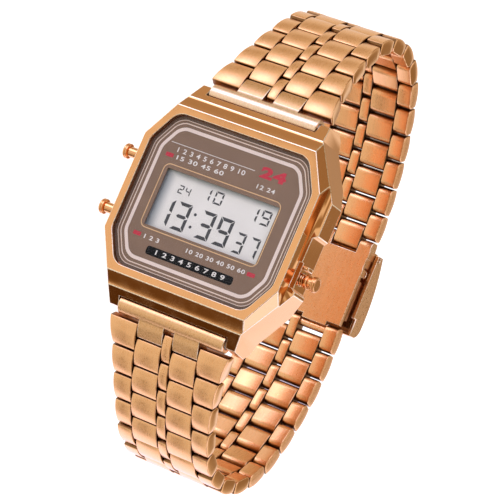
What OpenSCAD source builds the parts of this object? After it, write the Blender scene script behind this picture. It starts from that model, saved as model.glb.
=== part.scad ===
// Digital wristwatch with a steel bracelet, closed in its worn loop and lying on its 9 o'clock side.
// It is drawn face up: X towards 3 o'clock, Y towards 12 o'clock, Z out of the dial, 0 at the bezel's top.
// At the end it is turned so that 3 o'clock points up (+Z), the dial faces -Y and 6 o'clock is at +X,
// with the origin in the middle of the case back's outer face.

/* [Case] */
// Width of the middle case, from 9 to 3 o'clock
case_w = 34; // [33.6:0.2:35]
// Length over the lug tips, from 12 to 6 o'clock
case_l = 37; // [36.8:0.1:38]
// Thickness from the bezel's top to the back
case_t = 8.2; // [8.2:0.1:9]
// Width of the bezel, from 9 to 3 o'clock
bezel_w = 31.2; // [30.4:0.2:31.6]
// Height of the bezel's flat top, from 12 to 6 o'clock
bezel_h = 27.2; // [27:0.2:28]
// Straight edge of the bezel at 12 and 6 o'clock
bezel_edge_x = 24.6; // [23.6:0.2:25]
// Straight edge of the bezel at 3 and 9 o'clock
bezel_edge_y = 15.5; // [14.5:0.5:16.5]
// Depth of the bezel's wall above the middle case
bezel_wall = 2.4; // [2.2:0.1:2.6]
// Flat rim between the bezel's edge and the crystal
rim_w = 1.2; // [1:0.1:1.4]
// Lean of the four corner facets, in degrees from upright
facet_lean = 23.8; // [20:0.2:26]
// Run of the first slope at 12 and 6 o'clock
shoulder_run = 2; // [1.8:0.1:2.1]
// Drop of the first slope at 12 and 6 o'clock
shoulder_drop = 1.6; // [1.4:0.1:1.8]
// Depth of the lug's top edge below the bezel
lug_drop = 3.35; // [3.2:0.05:3.5]
// Width over the lug tips
lug_tip_w = 22.5; // [22.3:0.1:23]
// Width of the case where the lugs begin
lug_root_w = 24; // [23.8:0.1:24.4]
// Gap between the lugs
lug_gap = 19.4; // [19:0.1:19.6]
// Depth of the bays around the buttons, from the case's side
bay_depth = 0.8; // [0.6:0.1:1]

/* [Crystal, dial and display] */
// Thickness of the crystal
crystal_t = 0.8; // [0.6:0.05:0.9]
// How far the crystal sits below the bezel's top
crystal_inset = 0.1; // [0.05:0.05:0.2]
// Radius of the crystal's corners
crystal_r = 2.4; // [1.5:0.1:3]
// Thickness of the printed dial plate
dial_t = 0.3; // [0.2:0.05:0.4]
// Width of the display window in the dial plate
window_w = 20; // [18:0.5:20.5]
// Height of the display window in the dial plate
window_h = 9.2; // [8:0.2:10]
// How far the window's centre lies below the dial's centre
window_down = 0.6; // [0:0.1:0.8]
// Thickness of the liquid crystal panel
lcd_t = 1.1; // [0.9:0.1:1.2]
// Width that the panel shows past the window on each side
lcd_margin = 1; // [0.6:0.1:1.1]

/* [Movement] */
// Gap between the plastic module frame and the case
frame_gap = 0.5; // [0.4:0.05:0.6]
// Wall of the module frame
frame_wall = 0.8; // [0.6:0.05:0.9]
// Thickness of the circuit board
board_t = 0.6; // [0.5:0.05:0.7]
// Diameter of the coin cell
battery_d = 20; // [18:0.5:20]
// Thickness of the coin cell
battery_t = 1.6; // [1.2:0.05:1.65]
// Diameter of the buzzer disc
buzzer_d = 22; // [21.4:0.1:22.4]

/* [Back] */
// Thickness of the back plate
back_t = 0.9; // [0.8:0.05:1]
// How far the back plate reaches past the cavity at 3 and 9 o'clock
back_side = 1.4; // [1.3:0.05:1.5]
// How far the back plate reaches past the cavity at 12 and 6 o'clock
back_end = 3; // [2.9:0.05:3.1]
// Section of the gasket
gasket_d = 0.6; // [0.5:0.05:0.7]
// Thread diameter of the back screws
screw_d = 1.2; // [1:0.1:1.2]
// Head diameter of the back screws
screw_head_d = 1.8; // [1.7:0.05:1.9]

/* [Buttons] */
// Height of the upper button above the case's centre
button_up = 4.8; // [4.6:0.1:5]
// Depth of the lower buttons below the case's centre
button_down = 4.5; // [4.3:0.1:4.7]
// Depth of the buttons' axes below the bezel's top
button_z = 4.6; // [4.5:0.05:4.7]
// Diameter of a button's head
button_d = 2.4; // [2.2:0.1:2.6]
// Length of the thin neck behind the 3 o'clock button's head
neck_3 = 0.6; // [0.4:0.1:0.9]
// Length of the thin neck behind the 9 o'clock buttons' heads
neck_9 = 1.7; // [1.4:0.1:1.8]
// Travel of a button
button_travel = 0.7; // [0.4:0.05:0.7]

/* [Bracelet] */
// Length of one row of links
pitch = 4.6; // [4.4:0.05:4.8]
// Thickness of a link from its inner face to its crown
link_t = 2.5; // [2.3:0.05:2.6]
// Rise of a link's crown above its ends
link_dome = 0.4; // [0.2:0.05:0.6]
// Width of the centre bead
bead_w = 1.6; // [1.2:0.1:2]
// Width of an inner link
inner_w = 4.8; // [4.4:0.1:5]
// Width of the bracelet at the clasp
band_w = 16; // [15.8:0.1:16.6]
// Width of the bracelet at the lugs
band_lug_w = 21.5; // [21:0.1:22]
// Rows over which the taper falls to a third
taper_rows = 2; // [1:0.5:4]
// Gap between neighbouring links
link_gap = 0.2; // [0.14:0.02:0.26]
// Diameter of a link pin
pin_d = 1; // [0.8:0.05:1.1]
// Diameter of a spring bar
spring_bar_d = 1.5; // [1.3:0.1:1.6]
// Diameter of the end link's tube
tube_d = 2.9; // [2.7:0.1:3]
// Distance of the spring bar from the lug tips
bar_inset = 1; // [0.9:0.05:1.1]
// Depth of the spring bar below the bezel's top
bar_depth = 3.9; // [3.8:0.05:4.1]

/* [Clasp] */
// Height of the cover above the links' crown line
cover_rise = 4.4; // [4:0.1:4.8]
// Wall of the folded cover
cover_wall = 0.6; // [0.5:0.05:0.7]
// Width of the cover
cover_w = 17.4; // [17.2:0.1:18]
// Thickness of the inner plate
plate_t = 0.9; // [0.8:0.05:1]
// Thickness of the locking blade
blade_t = 0.9; // [0.7:0.05:1]
// Diameter of the end bar that the clasp holds
end_bar_d = 1.4; // [1.2:0.1:1.5]

/* [Hidden] */
$fn = 64;
ROWS_12 = 14;
ROWS_6 = 15;
gold = "#d98c52";
gold_dark = "#b9703c";
steel = "#c9c9c9";
eps = 0.01;
big = 100;

// Directions of the band in degrees: at the spring bar, then what each row bends further
// near the lugs, round the side of the wrist and towards the clasp; last, where the side ends
lug_rows = 4;
BAND_12 = [-22.2, 5.8, 19.5, 6.4, 9];
BAND_6 = [-26.3, 5.4, 16.9, 7.8, 10];
end_link_l = 2.75;

// Clearances
fit = 0.05;
slack = 0.12;
loose = 0.3;
seat_gap = 0.25;

// Heights of the stack, from the bezel's top down
crystal_z = -crystal_inset - crystal_t;
dial_z = crystal_z - dial_t;
ledge_w = 0.8;
ledge_t = 0.7;
cavity_top = dial_z - ledge_t;
lcd_top = dial_z - loose;
lcd_w = window_w + 2 * lcd_margin;
lcd_h = window_h + 2 * lcd_margin;
lcd_z = lcd_top - lcd_t;
guide_t = 0.5;
guide_z = lcd_z - fit - guide_t;
guide_inset = 0.5;
zebra_w = 0.9;
back_z = -case_t + back_t;
buzzer_t = 0.25;
buzzer_z = back_z + buzzer_t;
clip_t = 0.2;
battery_z = buzzer_z + loose + clip_t / 2;
board_z = battery_z + battery_t + slack;
board_top = board_z + board_t;

// Plan sizes of the movement
contact_r = 0.6;
contact_wall = 0.2;
board_w = max(lcd_w, battery_d + 2 * contact_r + 3 * slack);
board_h = battery_d;
frame_w = board_w + 2 * slack + 2 * frame_wall;
frame_h = board_h + 2 * slack + 2 * frame_wall;
cavity_w = frame_w + 2 * frame_gap + 2 * button_travel;
cavity_h = frame_h + 2 * frame_gap;
battery_r = battery_d / 2;
battery_x = -(board_w / 2 - battery_r);
cell_step_t = 0.4;
cell_step_w = 1.2;
clip_y = 6.5;
clip_w = 3;
clip_inset = 0.4;

// Case
bezel_x = bezel_w / 2;
bezel_y = bezel_h / 2;
shoulder_y = bezel_y + shoulder_run;
shoulder_ledge = 0.4;
ledge_fall = 0.04;
lug_y = case_l / 2;
lug_lean = 0.35;
case_x = case_w / 2;
side_chamfer = 1.8;
end_chamfer = 1.1;
chamfer_z = 1.9;
guard_y = 7.3;
bay_x = case_x - bay_depth;
bay_slant = 0.5;
bay_low = 0.7;
bay_half = 1.8;
bay_top = 1.6;
low_half = 2.2;
rib_near = 1.4;
rib_far = 2;
rib_half = 0.9;
notch_r = tube_d / 2 + loose;
bar_y = lug_y - bar_inset;
tip_r = 0.4;
tip_l = 1;

// Back
back_w = cavity_w + 2 * back_side;
back_h = cavity_h + 2 * back_end;
back_r = 3;
back_corner = 3.5;
screw_inset = 4.5;
screw_x = back_w / 2 - screw_inset;
screw_y = (cavity_h / 2 + back_h / 2) / 2 + gasket_d / 2;
screw_head_t = 0.35;
screw_l = 2.2;
slot_l = 1.2;
slot_w = 0.25;
slot_t = 0.25;
gasket_off = 0.15;
gasket_corner = 1;

// Buttons: side (1 at 3 o'clock, -1 at 9 o'clock) and height above the case's centre
LIGHT = [-1, button_up];
MODE = [-1, -button_down];
START = [1, -button_down];
stem_r = 0.6;
stem_end = 0.35;
stem_in = cavity_w / 2 - stem_end;
head_t = 0.8;
flange_t = 0.5;
neck_step = 0.35;
flange_step = 0.1;
neck_r = button_d / 2 - neck_step;
flange_r = button_d / 2 - flange_step;
press_gap = 0.1;
flange_x = bay_x + button_travel + press_gap;
function head_end(b) = flange_x + flange_t + head_t + (b[0] < 0 ? neck_9 : neck_3);
snap_groove = 0.2;
snap_out = 0.2;
snap_gap = 0.02;
snap_slot = 0.4;
spring_room = 0.35;
spring_r = stem_r + spring_room;
spring_wall = 0.2;
seal_depth = 0.7;
seal_to_spring = 0.8;
seal_x = cavity_w / 2 + seal_depth;
seal_r = 0.19;
spring_x = seal_x + seal_to_spring;
groove_r = stem_r + 2 * seal_r + 2 * fit;
tab_t = 0.12;
tab_w = 2.4;
tab_x = stem_in - button_travel - fit - tab_t;
foot_l = tab_x + tab_t - (lcd_w / 2 - guide_inset + slack);
tab_hole = 3.2;

// Bracelet
pin_r = pin_d / 2;
end_r = pitch / 4 + fit;
crown = link_t - end_r;
bead_x = bead_w / 2;
inner_x = bead_x + slack;
inner_end_x = inner_x + inner_w - 2 * slack;
outer_x = inner_end_x + slack;
edge = 0.7;
tube_gap = 0.2;
round_fn = 180;

// Clasp
cover_x = cover_w / 2;
plate_x = band_w / 2 - slack;
ear_t = 0.8;
ear_x = cover_x - cover_wall - slack;
cover_pin_u = 1.1;
cover_pin_rise = 0.7;
cover_pin = [cover_pin_u, crown + cover_pin_rise];
cover_pin_r = 0.4;
cover_eye_wall = 0.35;
cover_eye_r = cover_pin_r + cover_eye_wall;
cover_u = 0.6;
cover_round_r = 2;
cover_start_rise = 1.6;
cover_flat_back = 3.4;
cover_tip_rise = 0.9;
blade_pin_gap = 0.85;
blade_pin_v = 0.55;
blade_pin = [3 * pitch / 4 + blade_pin_gap, blade_pin_v];
blade_pin_r = 0.35;
blade_eye_wall = 0.3;
blade_eye_r = blade_pin_r + blade_eye_wall;
blade_neck = 0.7;
seat_r = end_bar_d / 2 + seat_gap;
seat_half = 45;
prong_root = 1;
tip_gap = 0.55;

function row_name(side, k) = str("link_", side, "_", k < 10 ? "0" : "", k);

// Where the band runs: direction of row k in degrees (0 is the end link), and its hinge as [y, z]
function bend(band, k) = k <= lug_rows ? band[1] : k <= band[4] ? band[2] : band[3];
function heading(band, k) = k == 0 ? band[0] : heading(band, k - 1) - bend(band, k);
function along(angle) = [cos(angle), sin(angle)];
function hinge(band, k) =
    k == 0 ? [bar_y, -bar_depth]
    : hinge(band, k - 1) + (k == 1 ? end_link_l : pitch) * along(heading(band, k - 1));

// Half width of the band at the start of row k
function half_w(k) = band_w / 2 + (band_lug_w - band_w) / 2 * exp(-(k - 1) / taper_rows);

// The clasp runs from its hinge on the 12 o'clock side to the end bar of the 6 o'clock side
clasp_start = hinge(BAND_12, ROWS_12 + 1);
bar_6 = hinge(BAND_6, ROWS_6) + pitch / 2 * along(heading(BAND_6, ROWS_6));
clasp_end = [-bar_6[0], bar_6[1]];
clasp_l = norm(clasp_end - clasp_start);
clasp_heading = atan2(clasp_end[1] - clasp_start[1], clasp_end[0] - clasp_start[0]);

// Outline of an octagon as wide and high as given, with its straight edges, and what it is inset by d
function octagon(w, h, edge_x, edge_y) =
    [[edge_x, -h], [w, -edge_y], [w, edge_y], [edge_x, h],
     [-edge_x, h], [-w, edge_y], [-w, -edge_y], [-edge_x, -h]] / 2;
function bezel_outline(d) =
    let (a = atan2(bezel_h - bezel_edge_y, bezel_w - bezel_edge_x))
    octagon(bezel_w - 2 * d, bezel_h - 2 * d,
            bezel_edge_x - 2 * d * tan(a / 2), bezel_edge_y - 2 * d * tan(45 - a / 2));

// Outline with each of its corners turned into an arc of radius r
function unit(v) = v / norm(v);
function arc_corner(a, b, c, r, n) =
    let (u = unit(a - b), v = unit(c - b), half = acos(u * v) / 2,
         centre = b + unit(u + v) * r / sin(half),
         from = b + u * r / tan(half) - centre,
         start = atan2(from[1], from[0]))
    [for (i = [0:n]) centre + r * along(start + (180 - 2 * half) * i / n)];
function rounded(points, r, n = 6) =
    let (m = len(points))
    [for (i = [0:m - 1])
        each arc_corner(points[(i + m - 1) % m], points[i], points[(i + 1) % m], r, n)];

module slab(points, low, high) {
    translate([0, 0, low]) linear_extrude(high - low) polygon(points);
}

module box(w, h, low, high) {
    translate([-w / 2, -h / 2, low]) cube([w, h, high - low]);
}

// A copy in each of the four corners
module four() {
    for (mx = [0, 1], my = [0, 1]) mirror([mx, 0, 0]) mirror([0, my, 0]) children();
}

// Case

function case_plan() =
    let (quarter = [[lug_tip_w / 2, lug_y], [lug_root_w / 2, shoulder_y], [case_x, guard_y]])
    [for (p = quarter) p, [case_x, -guard_y], [lug_root_w / 2, -shoulder_y], [lug_tip_w / 2, -lug_y],
     [-lug_tip_w / 2, -lug_y], [-lug_root_w / 2, -shoulder_y], [-case_x, -guard_y],
     [-case_x, guard_y], [-lug_root_w / 2, shoulder_y], [-lug_tip_w / 2, lug_y]];

module case_side_profile() {
    half = [[bezel_y, 0], [shoulder_y - shoulder_ledge, -shoulder_drop],
            [shoulder_y, -shoulder_drop - ledge_fall], [lug_y - lug_lean, -lug_drop],
            [lug_y, -case_t + end_chamfer], [lug_y - end_chamfer, -case_t]];
    polygon(concat(half, [for (i = [len(half) - 1:-1:0]) [-half[i][0], half[i][1]]]));
}

module case_front_profile() {
    half = [[bezel_x, eps], [bezel_x, -bezel_wall], [case_x, -bezel_wall],
            [case_x, -case_t + chamfer_z], [case_x - side_chamfer, -case_t]];
    polygon(concat(half, [for (i = [len(half) - 1:-1:0]) [-half[i][0], half[i][1]]]));
}

// The leaning facet at each corner of the bezel, as the space outside it
module corner_facets() {
    turn = atan2(bezel_w - bezel_edge_x, bezel_h - bezel_edge_y);
    four() translate([bezel_edge_x / 2, bezel_y, 0]) rotate([0, -facet_lean, turn])
        translate([0, -big / 2, -big / 2]) cube(big);
}

// A bay cut into the case's side round a button, up to y = top, with its ledge lower at the button
module bay(b, top, ledge) {
    y0 = b[1] - bay_half;
    out_x = case_x + eps;
    mirror([b[0] < 0 ? 1 : 0, 0, 0]) {
        slab([[bay_x, y0], [bay_x, top], [out_x, top + bay_slant], [out_x, y0 - bay_slant]],
             -case_t - eps, -bezel_wall + eps);
        slab([[bezel_x + slack, y0], [bezel_x + slack, ledge], [out_x, ledge], [out_x, y0]],
             -bezel_wall - bay_low, -bezel_wall + eps);
    }
}

module lug_notch() {
    for (my = [0, 1]) mirror([0, my, 0]) translate([-lug_gap / 2, bar_y, -bar_depth]) {
        rotate([0, 90, 0]) cylinder(h = lug_gap, r = notch_r);
        translate([0, -notch_r, -big]) cube([lug_gap, big, big]);
        translate([0, 0, -notch_r]) cube([lug_gap, big, big]);
    }
}

// Places its child with z pointing out along a button's axis, 0 in the middle of the case
module at_button(b) {
    mirror([b[0] < 0 ? 1 : 0, 0, 0]) translate([0, b[1], -button_z]) rotate([0, 90, 0]) children();
}

module rod(r, from, to) {
    translate([0, 0, from]) cylinder(h = to - from, r = r);
}

module case_body() {
    color(gold) difference() {
        union() {
            intersection() {
                slab(case_plan(), -case_t, 0);
                rotate([90, 0, 90]) linear_extrude(big, center = true) case_side_profile();
                difference() {
                    rotate([90, 0, 0]) linear_extrude(big, center = true) case_front_profile();
                    intersection() {
                        corner_facets();
                        box(big, big, -bezel_wall, eps);
                    }
                    bay(START, bay_top, START[1] + low_half);
                    bay(LIGHT, LIGHT[1] + bay_half, LIGHT[1] + bay_half);
                    bay(MODE, MODE[1] + bay_half, MODE[1] + bay_half);
                }
            }
            // Rib beside the 3 o'clock button
            translate([bay_x - eps, START[1] + rib_near, -button_z - rib_half])
                cube([bay_depth, rib_far - rib_near, 2 * rib_half]);
        }
        lug_notch();
        slab(rounded(bezel_outline(rim_w), crystal_r), dial_z, eps);
        slab(rounded(bezel_outline(rim_w + ledge_w), crystal_r), cavity_top - eps, dial_z + eps);
        box(cavity_w, cavity_h, back_z - eps, cavity_top);
        slab(rounded(back_plan(back_gap = slack), back_r), -case_t - eps, back_z);
        difference() {
            slab(gasket_outline(gasket_d + 2 * gasket_off), back_z - eps, back_z + gasket_d - fit);
            slab(gasket_outline(gasket_off / 2), back_z - 2 * eps, back_z + gasket_d);
        }
        four() translate([screw_x, screw_y, back_z - eps]) cylinder(h = screw_l, r = screw_d / 2 + fit);
        for (b = [LIGHT, MODE, START]) at_button(b) {
            rod(stem_r + fit, cavity_w / 2 - eps, case_x + eps);
            rod(spring_r + fit, spring_x, case_x + eps);
            rod(groove_r, seal_x - seal_r - fit, seal_x + seal_r + fit);
        }
        for (my = [0, 1]) mirror([0, my, 0]) translate([0, bar_y, -bar_depth]) rotate([0, 90, 0])
            translate([0, 0, -lug_gap / 2 - tip_l]) cylinder(h = lug_gap + 2 * tip_l, r = tip_r + fit);
    }
}

// Plan of the back plate, grown by the gap around it
function back_plan(back_gap = 0) =
    let (w = back_w + 2 * back_gap, h = back_h + 2 * back_gap)
    octagon(w, h, w - 2 * back_corner, h - 2 * back_corner);

// Outline of the gasket's ring, as far outside the cavity as given
function gasket_outline(out) =
    let (x = cavity_w - 2 * gasket_corner, y = cavity_h - 2 * gasket_corner)
    rounded(octagon(cavity_w + 2 * out, cavity_h + 2 * out, x, y), gasket_corner);

module crystal() {
    color("#e8eef0", 0.35) slab(rounded(bezel_outline(rim_w + fit), crystal_r), crystal_z, -crystal_inset);
}

module dial_plate() {
    color("#8a7262") difference() {
        slab(rounded(bezel_outline(rim_w + fit), crystal_r), dial_z, crystal_z);
        translate([0, -window_down, 0]) box(window_w, window_h, dial_z - eps, crystal_z + eps);
    }
}

module lcd_panel() {
    color("#dcdfe0") translate([0, -window_down, 0]) box(lcd_w, lcd_h, lcd_z, lcd_top);
}

module light_guide() {
    color("#f4f4f0") translate([0, -window_down, 0])
        box(lcd_w - 2 * guide_inset, lcd_h - 2 * (zebra_w + guide_inset + slack), guide_z, lcd_z - fit);
}

module zebra_strips() {
    color("#d98ca0") for (s = [-1, 1])
        translate([0, -window_down + s * (lcd_h / 2 - zebra_w / 2), 0])
            box(lcd_w - 2 * guide_inset, zebra_w, board_top, lcd_z);
}

module module_frame() {
    color("#e9e6df") difference() {
        box(frame_w, frame_h, battery_z, cavity_top - slack);
        translate([0, -window_down, 0]) box(lcd_w + 2 * slack, lcd_h + 2 * slack, board_top - eps, 0);
        box(frame_w - 2 * frame_wall, frame_h - 2 * frame_wall, battery_z - eps, board_top);
        for (b = [LIGHT, MODE, START]) at_button(b)
            translate([0, 0, frame_w / 2])
                cube([tab_hole, tab_w + 2 * loose, 2 * (foot_l + slack)], center = true);
    }
}

module circuit_board() {
    color("#2f7d4f") box(board_w, board_h, board_z, board_top);
}

module battery() {
    color(steel) translate([battery_x, 0, battery_z]) {
        cylinder(h = battery_t - cell_step_t, r = battery_r);
        cylinder(h = battery_t, r = battery_r - cell_step_w);
    }
}

module battery_clip() {
    foot_x = board_w / 2 - clip_inset;
    color("#b8b8bc") translate([0, clip_y, 0]) {
        box(2 * foot_x, clip_w, battery_z - clip_t, battery_z);
        for (s = [-1, 1]) translate([s * (foot_x - clip_t / 2), 0, 0])
            box(clip_t, clip_w, battery_z - clip_t, board_z);
    }
}

// One sprung tab in the way of each button's stem, with its foot on the board
module contact_tabs() {
    color("#d9c27a") for (b = [LIGHT, MODE, START]) mirror([b[0] < 0 ? 1 : 0, 0, 0])
        translate([tab_x, b[1] - tab_w / 2, 0]) {
            translate([0, 0, -button_z - stem_r])
                cube([tab_t, tab_w, board_top + tab_t + button_z + stem_r]);
            translate([tab_t - foot_l, 0, board_top]) cube([foot_l, tab_w, tab_t]);
        }
}

module buzzer_spring() {
    color(steel) translate([board_w / 2 - contact_r - slack, 0, 0]) difference() {
        rod(contact_r, buzzer_z, board_z);
        rod(contact_r - contact_wall, buzzer_z - eps, board_z + eps);
    }
}

module buzzer_disc() {
    color("#cfa95a") rod(buzzer_d / 2, back_z, buzzer_z);
}

module back_gasket() {
    color("#2a2a2a") difference() {
        slab(gasket_outline(gasket_off + gasket_d), back_z, back_z + gasket_d - 2 * fit);
        slab(gasket_outline(gasket_off), back_z - eps, back_z + gasket_d);
    }
}

module case_back() {
    color(gold) difference() {
        slab(rounded(back_plan(), back_r), -case_t, back_z);
        four() translate([screw_x, screw_y, 0]) {
            rod(screw_d / 2 + fit, -case_t - eps, back_z + eps);
            rod(screw_head_d / 2 + fit, -case_t - eps, -case_t + screw_head_t + fit);
        }
    }
}

module back_screws() {
    color(gold_dark) four() translate([screw_x, screw_y, 0]) difference() {
        union() {
            rod(screw_d / 2, -case_t + screw_head_t / 2, back_z + screw_l - loose);
            rod(screw_head_d / 2, -case_t + fit, -case_t + screw_head_t);
        }
        for (turn = [0, 90]) rotate([0, 0, turn])
            box(slot_l, slot_w, -case_t, -case_t + slot_t);
    }
}

// Buttons

module button(b) {
    end = head_end(b);
    color(gold) at_button(b) {
        difference() {
            union() {
                rod(stem_r, stem_in, flange_x + eps);
                rod(flange_r, flange_x, flange_x + flange_t);
                rod(neck_r, flange_x, end - head_t / 2);
                rod(button_d / 2, end - head_t, end);
            }
            difference() {
                rod(stem_r + eps, cavity_w / 2 - snap_groove - fit, cavity_w / 2 - fit);
                rod(stem_r - snap_groove, stem_in, cavity_w / 2);
            }
        }
        // Snap ring in the stem's groove, inside the case
        difference() {
            rod(stem_r + snap_out, cavity_w / 2 - snap_groove, cavity_w / 2 - 2 * fit + snap_gap);
            rod(stem_r - snap_groove + snap_gap, stem_in, cavity_w / 2);
            translate([0, -snap_slot / 2, stem_in]) cube([big, snap_slot, big]);
        }
    }
}

module button_spring(b) {
    color(steel) at_button(b) difference() {
        rod(spring_r, spring_x, flange_x);
        rod(spring_r - spring_wall, spring_x - eps, flange_x + eps);
    }
}

module button_seals() {
    color("#2a2a2a") for (b = [LIGHT, MODE, START]) at_button(b) translate([0, 0, seal_x])
        rotate_extrude() translate([stem_r + seal_r + fit / 2, 0]) circle(r = seal_r, $fn = 32);
}

module spring_bars() {
    color(steel) for (my = [0, 1]) mirror([0, my, 0]) translate([0, bar_y, -bar_depth]) rotate([0, 90, 0]) {
        rod(spring_bar_d / 2, -lug_gap / 2 + fit, lug_gap / 2 - fit);
        rod(tip_r, -lug_gap / 2 - tip_l + fit, lug_gap / 2 + tip_l - fit);
    }
}

// Bracelet. A link is drawn with u along the band, v outwards and w across it, from its first pin

module at_12(place, angle) {
    translate([0, place[0], place[1]]) rotate([angle, 0, 0]) rotate([90, 0, 90]) children();
}

module at_row(side, k) {
    band = side == 12 ? BAND_12 : BAND_6;
    mirror([0, side == 12 ? 0 : 1, 0]) at_12(hinge(band, k), heading(band, k)) children();
}

// Side view of a link: domed outside, its inner corners round about its two pins
module link_profile() {
    half = pitch / 2 - link_gap / 2;
    dome_r = (half * half + link_dome * link_dome) / (2 * link_dome);
    intersection() {
        translate([pitch / 4 - half, -end_r]) square([2 * half, end_r + crown]);
        translate([pitch / 4, crown - dome_r]) circle(r = dome_r, $fn = round_fn);
        union() {
            for (u = [0, pitch / 2]) translate([u, 0]) circle(r = end_r);
            translate([0, -end_r]) square([pitch / 2, 2 * end_r]);
            translate([pitch / 4 - half, 0]) square([2 * half, crown]);
        }
    }
}

// A link between w0 and w1 across the band, with its pin holes out to hole_w
module link(w0, w1, hole_w, first = true) {
    difference() {
        translate([0, 0, w0]) linear_extrude(w1 - w0) link_profile();
        for (u = first ? [0, pitch / 2] : [pitch / 2]) translate([u, 0, 0])
            rod(pin_r + fit, w0 - eps, min(hole_w, w1 + eps));
    }
}

// An outer link whose outer edge runs from half width a to half width b
module outer_link(a, b, hole_w) {
    intersection() {
        link(outer_x, max(a, b) + eps, hole_w);
        rotate([90, 0, 0]) linear_extrude(big, center = true)
            polygon([[-pitch / 4, 0], [3 * pitch / 4, 0], [3 * pitch / 4, b], [-pitch / 4, a]]);
    }
}

module both_sides() {
    children();
    mirror([0, 0, 1]) children();
}

// A row: outer links, centre bead, the inner links that reach into the next row, and their pins
module link_row(side, k) {
    a = half_w(k);
    b = half_w(k + 1);
    reach = b - edge;
    last = side == 6 && k == ROWS_6;
    color(gold) at_row(side, k) {
        both_sides() difference() {
            outer_link(a, b, reach + fit);
            if (last) translate([pitch / 2, 0, 0]) rod(end_bar_d / 2 + fit, 0, reach + fit);
        }
        difference() {
            link(-bead_x, bead_x, big);
            if (last) translate([pitch / 2, 0, 0]) rod(end_bar_d / 2 + fit, -big, big);
        }
        if (!last) both_sides() translate([pitch / 2, 0, 0]) link(inner_x, inner_end_x, big);
        rod(pin_r, -reach, reach);
        translate([pitch / 2, 0, 0]) rod(last ? end_bar_d / 2 : pin_r, -reach, reach);
    }
}

// Tube round the spring bar, with two tongues that carry the first row
module end_link(side) {
    tube_l = lug_gap - 2 * tube_gap;
    color(gold) at_row(side, 0) difference() {
        union() {
            rod(tube_d / 2, -tube_l / 2, tube_l / 2);
            both_sides() translate([end_link_l - pitch / 2, 0, inner_x])
                linear_extrude(inner_end_x - inner_x) link_profile();
        }
        rod(spring_bar_d / 2 + fit, -big, big);
        translate([end_link_l, 0, 0]) rod(pin_r + fit, -big, big);
    }
}

// Clasp, drawn like a link from its hinge, with u towards the 6 o'clock side

module in_clasp() {
    at_12(clasp_start, clasp_heading) children();
}

module strip(w0, w1) {
    translate([0, 0, w0]) linear_extrude(w1 - w0) children();
}

// Side view of an ear round a pin, standing on v = foot
module ear(pin, r, foot) {
    translate(pin) circle(r = r);
    translate([pin[0] - r, foot]) square([2 * r, pin[1] - foot]);
}

// Inner plate: knuckles and ears at one end, two prongs with a seat for the end bar at the other
module clasp_plate() {
    plate_u = clasp_l - 3 * pitch / 4 + pitch / 2 - seat_gap;
    inner_v = -end_r;
    prong_v = seat_r * sin(seat_half);
    prong_end = clasp_l - seat_r * cos(seat_half);
    color(gold) in_clasp() difference() {
        union() {
            strip(-plate_x, plate_x)
                translate([end_r + seat_gap, inner_v]) square([plate_u - end_r - seat_gap, plate_t]);
            both_sides() strip(outer_x, plate_x) link_profile();
            strip(-bead_x, bead_x) link_profile();
            both_sides() strip(inner_x, inner_end_x)
                translate([plate_u - prong_root, inner_v])
                    square([prong_end - plate_u + prong_root, prong_v - inner_v]);
            both_sides() strip(ear_x - ear_t, ear_x) {
                ear(cover_pin, cover_eye_r, inner_v);
                ear(blade_pin, blade_eye_r, inner_v);
            }
        }
        rod(pin_r + fit, -plate_x + edge, plate_x - edge);
        translate([clasp_l, 0, 0]) rod(seat_r, -big, big);
        translate(cover_pin) rod(cover_pin_r + fit, -big, big);
        translate(blade_pin) rod(blade_pin_r + fit, -big, big);
    }
}

module clasp_pins() {
    color(gold_dark) in_clasp() {
        rod(pin_r, -plate_x + edge + fit, plate_x - edge - fit);
        translate(cover_pin) rod(cover_pin_r, -cover_x + fit, cover_x - fit);
        translate(blade_pin) rod(blade_pin_r, -ear_x + fit, ear_x - fit);
    }
}

// Locking blade under the cover
module clasp_blade() {
    blade_x = ear_x - ear_t - slack;
    blade_l = clasp_l - pitch / 2 - seat_gap - blade_pin[0];
    wide_u = blade_eye_r + blade_neck;
    color(gold_dark) in_clasp() translate(blade_pin) difference() {
        union() {
            strip(-blade_x, blade_x) {
                circle(r = blade_eye_r);
                translate([0, -blade_eye_r]) square([blade_l, blade_t]);
            }
            strip(-plate_x, plate_x) translate([wide_u, -blade_eye_r])
                square([blade_l - wide_u, blade_t]);
        }
        rod(blade_pin_r + fit, -big, big);
    }
}

// Outline of the cover from the side, inset by d: a shallow arc that ends in a round tip
module cover_outline(d, low) {
    tip_u = clasp_l - tip_gap;
    round_r = cover_round_r;
    top_u = tip_u - cover_flat_back;
    top_v = crown + cover_rise;
    rise = cover_rise - cover_start_rise;
    arc_r = (top_u * top_u + rise * rise) / (2 * rise);
    round_v = top_v - arc_r + sqrt(pow(arc_r - round_r, 2) - pow(tip_u - round_r - top_u, 2));
    intersection() {
        translate([top_u, top_v - arc_r]) circle(r = arc_r - d, $fn = 2 * round_fn);
        union() {
            translate([cover_u + d, low]) square([tip_u - round_r - cover_u - d, 2 * big]);
            translate([tip_u - round_r, round_v]) circle(r = round_r - d);
            translate([tip_u - round_r, low]) square([round_r - d, round_v - low]);
        }
    }
}

module clasp_cover() {
    lip_v = crown + fit;
    tip_v = crown + cover_tip_rise;
    inside_x = cover_x - cover_wall;
    ear_top = cover_pin[1] + cover_eye_r + slack;
    color(gold) in_clasp() difference() {
        strip(-cover_x, cover_x) cover_outline(0, lip_v);
        strip(-inside_x, inside_x) cover_outline(cover_wall, -big);
        strip(-inside_x, inside_x)
            translate([0, -big]) square([cover_pin[0] + cover_eye_r - fit, big + ear_top]);
        translate([clasp_l - 3 * pitch / 4, -big, -big]) cube([big, big + tip_v, 2 * big]);
        translate(cover_pin) rod(cover_pin_r + fit, -big, big);
    }
}

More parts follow.
